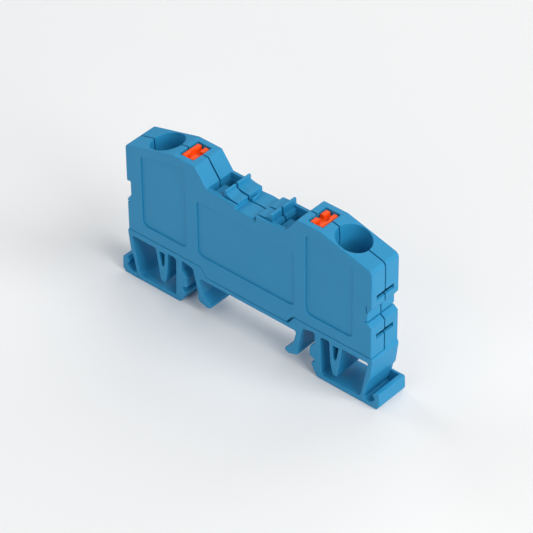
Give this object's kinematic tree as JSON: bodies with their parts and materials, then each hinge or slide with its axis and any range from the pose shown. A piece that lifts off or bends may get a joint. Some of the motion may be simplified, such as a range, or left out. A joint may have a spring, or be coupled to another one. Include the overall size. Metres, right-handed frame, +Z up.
{
  "type": "rail-mounted terminal block",
  "caption": "Slim feed-through terminal block for a 35 mm rail, with push-in wire clamps, release buttons and bridging slots.",
  "frame": {"origin": "middle of the length and of the thickness, on the flat underside of the feet", "axes": "+X along the length, +Y through the thickness from the front side to the rear side, +Z up from the rail"},
  "size_m": [0.0684, 0.0082, 0.0368],
  "materials": {
    "rear_housing": "fine satin moulded polyamide",
    "front_cover": "fine satin moulded polyamide",
    "current_bar": "tin-plated copper, satin",
    "left_clamp_cage": "stainless sheet, satin",
    "left_clamp_spring": "stainless spring strip",
    "left_spring_leg": "stainless spring strip",
    "left_release_button": "satin moulded plastic",
    "right_clamp_cage": "stainless sheet, satin",
    "right_clamp_spring": "stainless spring strip",
    "right_spring_leg": "stainless spring strip",
    "right_release_button": "satin moulded plastic"
  },
  "bodies": {
    "housing": {"rear_housing": "rear_housing", "front_cover": "front_cover", "current_bar": "current_bar", "left_clamp_cage": "left_clamp_cage", "left_clamp_spring": "left_clamp_spring", "right_clamp_cage": "right_clamp_cage", "right_clamp_spring": "right_clamp_spring"},
    "left_button": {"left_release_button": "left_release_button"},
    "left_leg": {"left_spring_leg": "left_spring_leg"},
    "right_button": {"right_release_button": "right_release_button"},
    "right_leg": {"right_spring_leg": "right_spring_leg"}
  },
  "joints": [
    {"name": "left_button_press", "type": "slide", "parent": "housing", "child": "left_button", "axis": [0, 0, -1], "range_m": [0, 0.0022], "stiffness_N_per_m": 4000, "springref_m": -0.001},
    {"name": "left_leg_turn", "type": "hinge", "parent": "housing", "child": "left_leg", "pos_m": [-0.0137, 0, 0.0264], "axis": [0, -1, 0], "range_deg": [0, 33]},
    {"name": "right_button_press", "type": "slide", "parent": "housing", "child": "right_button", "axis": [0, 0, -1], "range_m": [0, 0.0022], "stiffness_N_per_m": 4000, "springref_m": -0.001},
    {"name": "right_leg_turn", "type": "hinge", "parent": "housing", "child": "right_leg", "pos_m": [0.0137, 0, 0.0264], "axis": [0, 1, 0], "range_deg": [0, 33]}
  ],
  "couplings": [
    {"joint": "left_leg_turn", "follows": "left_button_press", "rad_per_m": 253.87},
    {"joint": "right_leg_turn", "follows": "right_button_press", "rad_per_m": 253.87}
  ]
}
